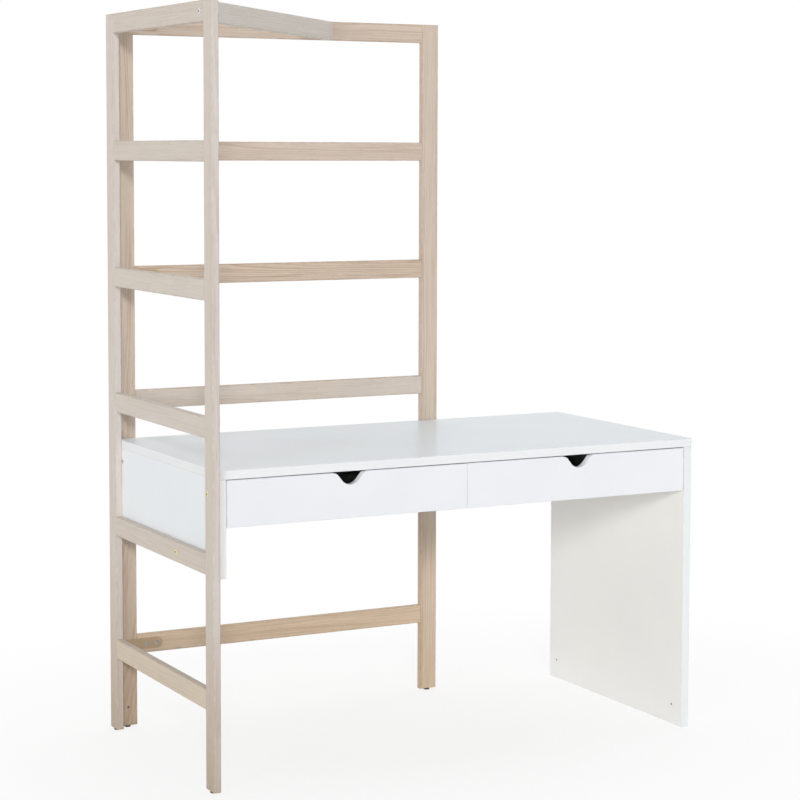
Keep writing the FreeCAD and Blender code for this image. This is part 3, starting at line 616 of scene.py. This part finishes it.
def peeled_finish(name, colour, roughness, relief):
    """A coat or a moulded skin with fine orange peel and the marks of handling."""
    material, tree, shader, height = new_finish(name, relief)
    painted = use_effect(tree, powder_coat, {
        "Place": place_at_rest(tree), "Coat": colour, "Gloss": roughness})
    feed(tree, painted["Color"], shader.inputs["Base Color"])
    feed(tree, painted["Roughness"], shader.inputs["Roughness"])
    feed(tree, painted["Height"], height)
    return material


COAT_RELIEF = 0.00008
dress("corner_brackets", peeled_finish("bracket_coat", tone(190, 167, 139), 0.5, COAT_RELIEF))


# Bracket screws: twelve zinc plated wood screws with pan heads and a cross recess, 4 mm thick.
# Two go through each leg of each bracket, into the rung and into the rail.
dull_zinc = metal_finish("dull_zinc_plate", tone(192, 198, 206), tone(148, 156, 166), polish=0.36)
bracket_screw_recess = prism(cross(reach=0.0024, width=0.0005), top=0.0026, bottom=0.0003, taper=0.5)
bracket_screw = screw_shape(dull_zinc, head_radius=0.0045, head_height=0.002, flatness=0.45,
                            shank_radius=0.002, reach=0.012, pitch=0.0013, recess=bracket_screw_recess)
BRACKET_THICKNESS = 0.003
BRACKET_HEIGHTS = (1.845, 1.195, 0.220)
SCREWS_FROM_CORNER = (0.075, 0.104)
RAIL_SCREW_TURNS = ((12, 65), (43, 96), (74, 127))
RUNG_SCREW_TURNS = ((5, 34), (52, 81), (99, 128))
bracket_low, bracket_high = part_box("corner_brackets")
rung_leg = bracket_low.x + BRACKET_THICKNESS
rail_leg = bracket_high.y - BRACKET_THICKNESS
seats = []
for height, rail_turns, rung_turns in zip(BRACKET_HEIGHTS, RAIL_SCREW_TURNS, RUNG_SCREW_TURNS):
    for along, rail_turn, rung_turn in zip(SCREWS_FROM_CORNER, rail_turns, rung_turns):
        seats.append(((bracket_low.x + along, rail_leg, height), (0, -1, 0), rail_turn))
        seats.append(((rung_leg, bracket_high.y - along, height), (1, 0, 0), rung_turn))
hardware("bracket_screw_set", bracket_screw, seats, "zinc", "desk", "bracket_screws")


# Foot glides: four dark plastic glides, nailed under the posts, that keep the wood off the floor.
# Each is a moulded disc with a soft rim and a sunk nail head.
PLASTIC_RELIEF = 0.00005
glide_low, glide_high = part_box("foot_glides")
GLIDE_HEIGHT = glide_high.z - glide_low.z
GLIDE_TOP = [(0, GLIDE_HEIGHT), (0.0078, GLIDE_HEIGHT)]
GLIDE_RIM = [(0.0083, GLIDE_HEIGHT - 0.0005), (0.0085, GLIDE_HEIGHT - 0.0009),
             (0.0085, 0.0008), (0.0083, 0.0003)]
GLIDE_SOLE = [(0.0079, 0), (0.0042, 0)]
GLIDE_NAIL = [(0.0036, 0.0008), (0.0028, 0.0012), (0.0014, 0.0010), (0, 0.0009)]
glide = turned(GLIDE_TOP + GLIDE_RIM + GLIDE_SOLE + GLIDE_NAIL)
glide.materials.append(peeled_finish("glide_plastic", tone(70, 68, 66), 0.45, PLASTIC_RELIEF))
seats = []
for post in ("ladder_front_post", "ladder_back_post", "rear_left_post", "rear_right_post"):
    post_low, post_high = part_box(post)
    middle = (post_low + post_high) / 2
    seats.append(((middle.x, middle.y, 0), (0, 0, 1), 0))
hardware("foot_glide_set", glide, seats, "glide_plastic", "desk", "foot_glides")


# Desk carcass: a 22 mm worktop, two end panels, a back panel and a centre divider of particle board.
# All are coated in matt white with a fine pearl texture, and their edges have a thin glued band.
COAT_SHIFT = (1.7, 2.3, 0.9)
PEARL_WAVES = (1100, 1100, 1100)
MOTTLE_WAVES = (6, 6, 6)
MOTTLE_DARKEST = (0.978, 0.982, 0.99)
MOTTLE_LIGHTEST = 1.006
SMEAR_WAVES = (28, 9, 19)
SMEAR_ROUGHNESS = (-0.01, 0.02)
white_coat, taken, given = new_effect(
    "white_coat", [("Place", "Vector"), ("White", "Color"), ("Sheen", "Float"), ("Board", "Float")],
    [("Color", "Color"), ("Roughness", "Float"), ("Height", "Float")])
tree = white_coat
board_shift = reckon_vector(tree, "MULTIPLY", taken["Board"], COAT_SHIFT)
shifted = reckon_vector(tree, "ADD", taken["Place"], board_shift)
mottle = cloud(tree, shifted, MOTTLE_WAVES, detail=3)
tints = [spread(tree, mottle, darkest, MOTTLE_LIGHTEST, *MID_NOISE) for darkest in MOTTLE_DARKEST]
mottled = blend_colour(tree, 1.0, taken["White"], join_channels(tree, *tints), "MULTIPLY")
feed(tree, mottled, given["Color"])
smears = spread(tree, cloud(tree, shifted, SMEAR_WAVES, detail=3), *SMEAR_ROUGHNESS, *MID_NOISE)
feed(tree, reckon(tree, "ADD", taken["Sheen"], smears), given["Roughness"])
feed(tree, cloud(tree, shifted, PEARL_WAVES, detail=2), given["Height"])

COAT_PEARL = 0.000003
COAT_SPECULAR = 0.3
COAT_EDGE_REACH = 0.0016
COAT_EDGE_RUB = 0.5
RUBBED_WHITE = tone(214, 214, 212)
CORE_FROM_FACE = (0.0004, 0.001)


def board_coat(name, low, high, number, white, sheen, pearl_depth=COAT_PEARL,
               core=None, band_tint=None, broad_axis="X"):
    """White coat for a board that fills a box. A band tint multiplies the narrow faces, as a band's colour
    and as painted light. Where it is bored, the holes show the bare core, darkened as painted shade.
    """
    material, tree, shader, height = new_finish(name, pearl_depth)
    place = tree.nodes.new("ShaderNodeMapping")
    place.inputs["Location"].default_value = -(low + high) / 2
    tree.links.new(place_at_rest(tree), place.inputs["Vector"])
    coat = use_effect(tree, white_coat, {
        "Place": place.outputs["Vector"], "White": white, "Sheen": sheen, "Board": number})
    edges = use_effect(tree, rubbed_edge, {
        "Place": place.outputs["Vector"], "Half": (high - low) / 2,
        "Reach": COAT_EDGE_REACH, "Board": number})
    thin = spread(tree, edges["Mask"], 0, COAT_EDGE_RUB)
    colour = blend_colour(tree, thin, coat["Color"], RUBBED_WHITE)
    # The band tint multiplies the narrow faces: a glued band's own colour on the worktop, painted light on
    # the end panels and the drawer fronts.
    if band_tint:
        colour = blend_colour(tree, narrow_faces(tree, broad_axis), colour, band_tint, "MULTIPLY")
    if core:
        bored = spread(tree, edges["Depth"], 0, 1, *CORE_FROM_FACE)
        colour = blend_colour(tree, bored, colour, core)
    feed(tree, colour, shader.inputs["Base Color"])
    feed(tree, coat["Roughness"], shader.inputs["Roughness"])
    feed(tree, coat["Height"], height)
    shader.inputs["Specular IOR Level"].default_value = COAT_SPECULAR
    return material


def coated_board(node, number, white, sheen, **details):
    """Give a board of the frame its white coat."""
    dress(node, board_coat(f"white_{node}", *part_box(node), number, white, sheen, **details))


WORKTOP_WHITE = tone(239, 246, 250)
WORKTOP_SHEEN = 0.3
WORKTOP_PEARL = 0.0000003
WORKTOP_BAND_TINT = (1.01, 0.965, 0.935, 1.0)
coated_board("worktop", 1, WORKTOP_WHITE, WORKTOP_SHEEN, pearl_depth=WORKTOP_PEARL,
             band_tint=WORKTOP_BAND_TINT, broad_axis="Z")
PANEL_SHEEN = 0.45
# The bored holes show the core darker than bare particle board: the core's colour with painted shade in
# the holes.
BARE_CORE_AND_SHADE = tone(128, 102, 74)
# Painted light: the right panel is whiter than the left, to lift the shade on its inner face under the
# desk, and its narrow faces are darkened back as painted shade.
RIGHT_PAINTED_LIGHT_WHITE = tone(248, 248, 245)
RIGHT_EDGE_PAINTED_SHADE = (0.9, 0.93, 0.97, 1.0)
coated_board("right_panel", 2, RIGHT_PAINTED_LIGHT_WHITE, PANEL_SHEEN, core=BARE_CORE_AND_SHADE, band_tint=RIGHT_EDGE_PAINTED_SHADE)
PANEL_WHITE = tone(241, 245, 247)
# Painted light: the left panel's narrow faces are lightened against the shade of the ladder's front post
# on its front edge.
LEFT_EDGE_PAINTED_LIGHT = (1.1, 1.06, 1.04, 1.0)
coated_board("left_panel", 3, PANEL_WHITE, PANEL_SHEEN, core=BARE_CORE_AND_SHADE, band_tint=LEFT_EDGE_PAINTED_LIGHT)
coated_board("back_panel", 4, PANEL_WHITE, PANEL_SHEEN)
coated_board("centre_divider", 5, PANEL_WHITE, PANEL_SHEEN)


# Ladder bolts and inserts: two brass plated bolts with hexagon sockets hold the left panel to the ladder.
# They turn into brass inserts that are set in the panel.
brass = metal_finish("brass_plate", tone(255, 240, 196), tone(222, 192, 120), polish=0.2)
SOCKET_RADIUS = 0.0029
SOCKET_ANGLES = [math.radians(angle) for angle in (0, 60, 120, 180, 240, 300)]
hexagon = [(SOCKET_RADIUS * math.cos(angle), SOCKET_RADIUS * math.sin(angle)) for angle in SOCKET_ANGLES]
socket_tool = prism(hexagon, top=0.003, bottom=-0.0018, taper=1.0)
ladder_bolt = screw_shape(brass, **BOLT_HEAD, shank_radius=0.003, reach=0.028, pitch=0.001,
                          recess=socket_tool, collar=BOLT_COLLAR)
UPPER_BOLT_TURN = 11
LOWER_BOLT_TURN = 37
bolt_low, bolt_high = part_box("ladder_bolts")
upper_bolt = (bolt_low.x, bolt_low.y + COUNTERBORE_RADIUS, bolt_high.z - COUNTERBORE_RADIUS)
lower_bolt = (bolt_low.x, bolt_high.y - COUNTERBORE_RADIUS, bolt_low.z + COUNTERBORE_RADIUS)
ladder_bolt_seats = [(upper_bolt, (-1, 0, 0), UPPER_BOLT_TURN), (lower_bolt, (-1, 0, 0), LOWER_BOLT_TURN)]
hardware("ladder_bolt_pair", ladder_bolt, ladder_bolt_seats, "brass", "desk", "ladder_bolts")
dress("insert_nuts", brass)


# Drawers: a coated front with a bell shaped finger cut-out, and a box of thinner white boards.
# The thin bottom slides in grooves in the sides.
DRAWERS = ("left_drawer", "right_drawer")
FRONT_WHITE = tone(240, 242, 245)
FRONT_SHEEN = 0.38
# Painted light: the narrow faces of the fronts, the cut-out's edges among them, are lightened against the
# shade there.
CUT_EDGE_PAINTED_LIGHT = (1.12, 1.1, 1.07, 1.0)
BOX_WHITE = tone(242, 242, 238)
BOX_SHEEN = 0.5
BOX_BOARDS = ("left_side", "right_side", "back", "bottom")
FIRST_FRONT = 10
FIRST_BOX_BOARD = 20
for order, drawer in enumerate(DRAWERS):
    coated_board(f"{drawer}_front", FIRST_FRONT + order, FRONT_WHITE, FRONT_SHEEN,
                 band_tint=CUT_EDGE_PAINTED_LIGHT, broad_axis="Y")
    for count, board in enumerate(BOX_BOARDS, start=FIRST_BOX_BOARD + len(BOX_BOARDS) * order):
        coated_board(f"{drawer}_{board}", count, BOX_WHITE, BOX_SHEEN)


# Edge bands: plastic strips, glued on the sides and the top of each drawer front up to the cut-out's lips.
# They close the gaps beside and above the fronts to fine lines.
BAND_THICKNESS = 0.0009
BAND_EASING = 0.0002
BAND_CREASE = math.radians(50)
FRONT_ROUNDING = 0.001
LIP_FROM_MIDDLE = 0.0467
UNRUBBED_MARGIN = Vector((0.01, 0.01, 0.01))
FIRST_BAND = 30


def eased_strip(solid, low, high):
    """Add a strip with eased edges, from its lowest to its highest corner, to a mesh under way."""
    size = Vector(high) - Vector(low)
    stretch = Matrix.LocRotScale((Vector(low) + Vector(high)) / 2, None, size)
    made = bmesh.ops.create_cube(solid, matrix=stretch)
    edges = list({edge for corner in made["verts"] for edge in corner.link_edges})
    bmesh.ops.bevel(solid, geom=edges, offset=BAND_EASING, segments=2, affect="EDGES", profile=0.5)


for order, drawer in enumerate(DRAWERS):
    low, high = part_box(f"{drawer}_front")
    middle = (low.x + high.x) / 2
    side_face = low.y + FRONT_ROUNDING
    bands = bmesh.new()
    for inner, outer in ((low.x, low.x - BAND_THICKNESS), (high.x, high.x + BAND_THICKNESS)):
        left, right = sorted((inner, outer))
        eased_strip(bands, (left, side_face, low.z), (right, high.y, high.z))
        left, right = sorted((outer, middle + math.copysign(LIP_FROM_MIDDLE, outer - middle)))
        eased_strip(bands, (left, low.y, high.z), (right, high.y, high.z + BAND_THICKNESS))
    mesh = bpy.data.meshes.new(f"{drawer}_edge_bands")
    bands.to_mesh(mesh)
    bands.free()
    band_coat = board_coat(f"white_{drawer}_bands", low - UNRUBBED_MARGIN, high + UNRUBBED_MARGIN,
                           FIRST_BAND + order, FRONT_WHITE, FRONT_SHEEN)
    mesh.materials.append(band_coat)
    mesh.shade_smooth()
    mesh.set_sharp_from_angle(angle=BAND_CREASE)
    piece = bpy.data.objects.new(f"{drawer}_edge_bands", mesh)
    bpy.context.scene.collection.objects.link(piece)
    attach(piece, drawer)


# Drawer cams: cast zinc cams in the inner faces of the drawer sides, turned to draw the front tight.
# Two are let into each side, behind the front.
CAM_FACE = [(0, 0.0003), (0.0066, 0.0003), (0.0072, 0.0001), (0.0075, -0.0003)]
CAM_BODY = [(0.0075, -0.0088), (0.007, -0.0092), (0, -0.0092)]
cam_recess = prism(cross(reach=0.0038, width=0.0008), top=0.001, bottom=-0.0028, taper=0.6)
cam = sunk(turned(CAM_FACE + CAM_BODY), dull_zinc, cam_recess)
CAM_FROM_FRONT = 0.034
CAM_HEIGHTS = (0.673, 0.707)
LEFT_CAM_TURNS = (19, 56)
RIGHT_CAM_TURNS = (-19, 18)
for drawer in DRAWERS:
    left_low, left_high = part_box(f"{drawer}_left_side")
    right_low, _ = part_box(f"{drawer}_right_side")
    cam_depth = left_low.y + CAM_FROM_FRONT
    seats = []
    for height, turn in zip(CAM_HEIGHTS, LEFT_CAM_TURNS):
        seats.append(((left_high.x, cam_depth, height), (1, 0, 0), turn))
    for height, turn in zip(CAM_HEIGHTS, RIGHT_CAM_TURNS):
        seats.append(((right_low.x, cam_depth, height), (-1, 0, 0), turn))
    hardware(f"{drawer}_cams", cam, seats, "zinc", drawer)


# Runners: pairs of channels and rails bent from 1.2 mm steel, coated in warm white, with stub axles.
# Nylon rollers run on the axles, two at the front of the carcass and two at the back of each drawer.
runner_coat = peeled_finish("runner_coat", tone(226, 224, 216), 0.4, COAT_RELIEF)
nylon = peeled_finish("roller_nylon", tone(234, 231, 222), 0.35, PLASTIC_RELIEF)
for drawer in DRAWERS:
    for rails in ("cabinet_rails", "drawer_rails"):
        dress(f"{drawer}_{rails}", runner_coat)
    for roller in ("left_cabinet", "left_drawer", "right_cabinet", "right_drawer"):
        dress(f"{drawer}_{roller}_roller", nylon)


# Runner screws: flat headed zinc screws, three on each drawer rail, through its web into the drawer side.
# Their heads stand only a little proud, so that they pass the rollers of the carcass.
runner_screw_recess = prism(cross(reach=0.0019, width=0.0004), top=0.0008, bottom=-0.0008, taper=0.5)
runner_screw = screw_shape(dull_zinc, head_radius=0.0031, head_height=0.0004, flatness=0.3,
                           shank_radius=0.0016, reach=0.009, pitch=0.0011, recess=runner_screw_recess)
WEB_THICKNESS = 0.0012
RUNNER_SCREW_HEIGHT = 0.6535
RUNNER_SCREWS_FROM_FRONT = (0.045, 0.205, 0.365)
LEFT_SCREW_TURNS = (-7, 34, 75)
RIGHT_SCREW_TURNS = (7, 48, 89)
for drawer in DRAWERS:
    left_low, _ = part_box(f"{drawer}_left_side")
    right_low, right_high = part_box(f"{drawer}_right_side")
    seats = []
    for along, turn in zip(RUNNER_SCREWS_FROM_FRONT, LEFT_SCREW_TURNS):
        on_web = (left_low.x - WEB_THICKNESS, left_low.y + along, RUNNER_SCREW_HEIGHT)
        seats.append((on_web, (-1, 0, 0), turn))
    for along, turn in zip(RUNNER_SCREWS_FROM_FRONT, RIGHT_SCREW_TURNS):
        on_web = (right_high.x + WEB_THICKNESS, right_low.y + along, RUNNER_SCREW_HEIGHT)
        seats.append((on_web, (1, 0, 0), turn))
    hardware(f"{drawer}_runner_screws", runner_screw, seats, "zinc", drawer)


# Studio: a pale floor that fades to white, a white room, and five soft lamps, strongest at the front left.
# The camera stands in front and to the left, at the height of a standing person's eyes.
def is_seen(tree):
    """1 for what the camera sees directly, in a polished surface or through a clear one."""
    path = tree.nodes.new("ShaderNodeLightPath")
    mirrored = reckon(tree, "MAXIMUM", path.outputs["Is Glossy Ray"], path.outputs["Is Transmission Ray"])
    return reckon(tree, "MAXIMUM", path.outputs["Is Camera Ray"], mirrored)


FLOOR_REACH = 30.0
floor_corners = [(-FLOOR_REACH, -FLOOR_REACH, 0), (FLOOR_REACH, -FLOOR_REACH, 0),
                 (FLOOR_REACH, FLOOR_REACH, 0), (-FLOOR_REACH, FLOOR_REACH, 0)]
floor_mesh = bpy.data.meshes.new("floor")
floor_mesh.from_pydata(floor_corners, [], [(0, 1, 2, 3)])
floor = bpy.data.objects.new("floor", floor_mesh)
bpy.context.scene.collection.objects.link(floor)
PURE_WHITE = (1.0, 1.0, 1.0, 1.0)
FLOOR_WHITE = (0.97, 0.97, 0.97, 1.0)
PALE_BOUNCE = (0.95, 0.95, 0.95, 1.0)
WARM_BOUNCE = (0.5, 0.42, 0.34, 1.0)
WARM_MIDDLE = (-0.5, 0.15, 0)
WARM_REACH = (0.4, 1.1)
FADE_SHAPE = (0.8, 1, 1)
FADE_REACH = (0.3, 1.5)
FADE_AT_MIDDLE = 0.78
floor_paint = bpy.data.materials.new("floor_paint")
floor_paint.use_nodes = True
tree = floor_paint.node_tree
tree.nodes.clear()
spot = place_at_rest(tree)
from_warmth = reckon_vector(tree, "LENGTH", reckon_vector(tree, "SUBTRACT", spot, WARM_MIDDLE))
bounce = blend_colour(tree, spread(tree, from_warmth, 0, 1, *WARM_REACH), WARM_BOUNCE, PALE_BOUNCE)
matt = tree.nodes.new("ShaderNodeBsdfDiffuse")
feed(tree, blend_colour(tree, is_seen(tree), bounce, FLOOR_WHITE), matt.inputs["Color"])
white = tree.nodes.new("ShaderNodeEmission")
white.inputs["Color"].default_value = PURE_WHITE
away = reckon_vector(tree, "LENGTH", reckon_vector(tree, "MULTIPLY", spot, FADE_SHAPE))
whiteness = spread(tree, away, FADE_AT_MIDDLE, 1, *FADE_REACH)
fade = tree.nodes.new("ShaderNodeMixShader")
feed(tree, reckon(tree, "MULTIPLY", whiteness, is_seen(tree)), fade.inputs["Fac"])
tree.links.new(matt.outputs["BSDF"], fade.inputs[1])
tree.links.new(white.outputs["Emission"], fade.inputs[2])
tree.links.new(fade.outputs["Shader"], tree.nodes.new("ShaderNodeOutputMaterial").inputs["Surface"])
floor_mesh.materials.append(floor_paint)

SKY_LEVEL = 0.36
room = bpy.data.worlds.new("white_room")
room.use_nodes = True
bpy.context.scene.world = room
tree = room.node_tree
feed(tree, spread(tree, is_seen(tree), SKY_LEVEL, 1), tree.nodes["Background"].inputs["Strength"])
tree.nodes["Background"].inputs["Color"].default_value = PURE_WHITE


def soft_sun(name, towards_light, strength, width):
    """Even light from one direction, as soft as a source that is so many degrees wide.

    Polished surfaces mirror the white room and not the lamp, so the worktop has no glare from any side."""
    lamp = bpy.data.lights.new(name, "SUN")
    lamp.energy = strength
    lamp.angle = math.radians(width)
    holder = bpy.data.objects.new(name, lamp)
    holder.rotation_euler = Vector(towards_light).to_track_quat("Z", "Y").to_euler()
    holder.visible_glossy = False
    bpy.context.scene.collection.objects.link(holder)


soft_sun("key_light", towards_light=(-0.42, -1.0, 0.37), strength=1.05, width=9)
soft_sun("left_light", towards_light=(-1.0, -0.7, 0.12), strength=1.12, width=20)
soft_sun("top_light", towards_light=(0.24, 0.2, 0.46), strength=0.62, width=60)
soft_sun("back_light", towards_light=(0.1, 1.0, 0.25), strength=0.36, width=40)
soft_sun("right_light", towards_light=(1.0, 0.12, 0.25), strength=0.42, width=60)

VIEWER_PLACE = (-2.68304, -5.09398, 1.51718)
VIEWER_TURN = math.radians(-27.708)
VIEWER_TILT = math.radians(90 - 4.358)
VIEWER_ROLL = math.radians(0.149)
camera = bpy.data.cameras.new("camera")
camera.sensor_width = 36.0
camera.lens = 99.54
camera.shift_y = -0.0985
camera.clip_end = 200.0
viewer = bpy.data.objects.new("camera", camera)
aim = Matrix.Rotation(VIEWER_TURN, 4, "Z") @ Matrix.Rotation(VIEWER_TILT, 4, "X")
viewer.matrix_world = Matrix.Translation(VIEWER_PLACE) @ aim @ Matrix.Rotation(VIEWER_ROLL, 4, "Z")
bpy.context.scene.collection.objects.link(viewer)
bpy.context.scene.camera = viewer
bpy.context.scene.view_settings.view_transform = "Standard"
